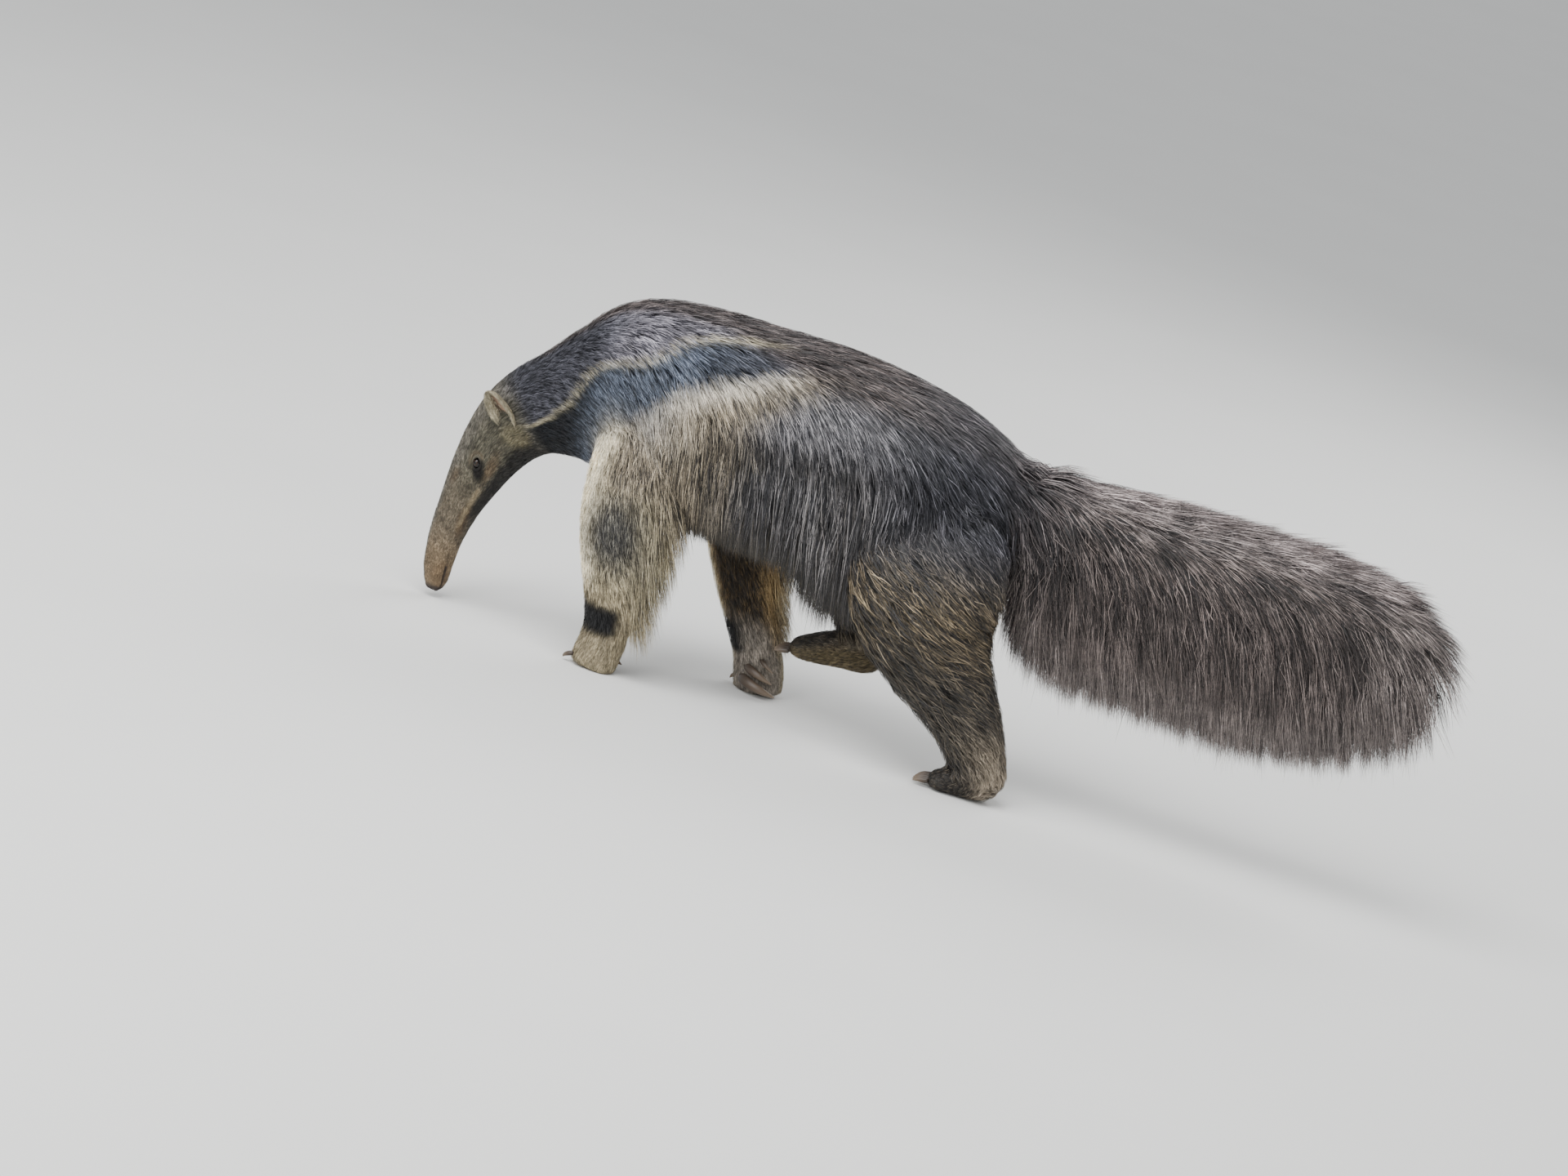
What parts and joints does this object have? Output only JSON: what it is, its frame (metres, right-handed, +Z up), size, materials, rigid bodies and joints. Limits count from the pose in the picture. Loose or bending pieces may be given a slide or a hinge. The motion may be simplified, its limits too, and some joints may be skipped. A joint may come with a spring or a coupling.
{
  "type": "giant anteater",
  "caption": "Life-size giant anteater walking nose down, with tube snout, clawed forefeet, flank hair and a broad hanging tail plume.",
  "frame": {"origin": "on the floor, under the middle of the whole animal's box", "axes": "+X towards the tip of the tail, +Z up, -Y towards the animal's left side"},
  "size_m": [1.6786, 0.3378, 0.6101],
  "materials": {
    "fur_head": "short flat grey to tan fur",
    "fur_body": "long coarse grizzled dark fur with pale bands",
    "fur_foreleg": "cream fur with a dark outer patch",
    "fur_hindleg": "dark brown fur with golden tips",
    "fur_tail": "very long coarse dark grey-brown hair",
    "ear_skin": "thin short-haired skin",
    "eye": "wet dark eye",
    "claw": "worn horn"
  },
  "bodies": {
    "root": {"claw_forefoot_left_1": "claw", "claw_forefoot_left_2": "claw", "claw_forefoot_left_3": "claw", "claw_forefoot_left_4": "claw", "claw_forefoot_right_1": "claw", "claw_forefoot_right_2": "claw", "claw_forefoot_right_3": "claw", "claw_forefoot_right_4": "claw", "claw_hindfoot_left_1": "claw", "claw_hindfoot_left_2": "claw", "claw_hindfoot_left_3": "claw", "claw_hindfoot_left_4": "claw", "claw_hindfoot_left_5": "claw", "claw_hindfoot_right_1": "claw", "claw_hindfoot_right_2": "claw", "claw_hindfoot_right_3": "claw", "claw_hindfoot_right_4": "claw", "claw_hindfoot_right_5": "claw", "ear_left": "ear_skin", "ear_right": "ear_skin", "eye_left": "eye", "eye_right": "eye", "forefoot_left": "fur_foreleg", "forefoot_right": "fur_foreleg", "foreleg_left": "fur_foreleg", "foreleg_right": "fur_foreleg", "head": "fur_head", "hindfoot_left": "fur_hindleg", "hindfoot_right": "fur_hindleg", "hindleg_left": "fur_hindleg", "hindleg_right": "fur_hindleg", "neck": "fur_body", "tail": "fur_tail", "torso": "fur_body"}
  },
  "joints": []
}
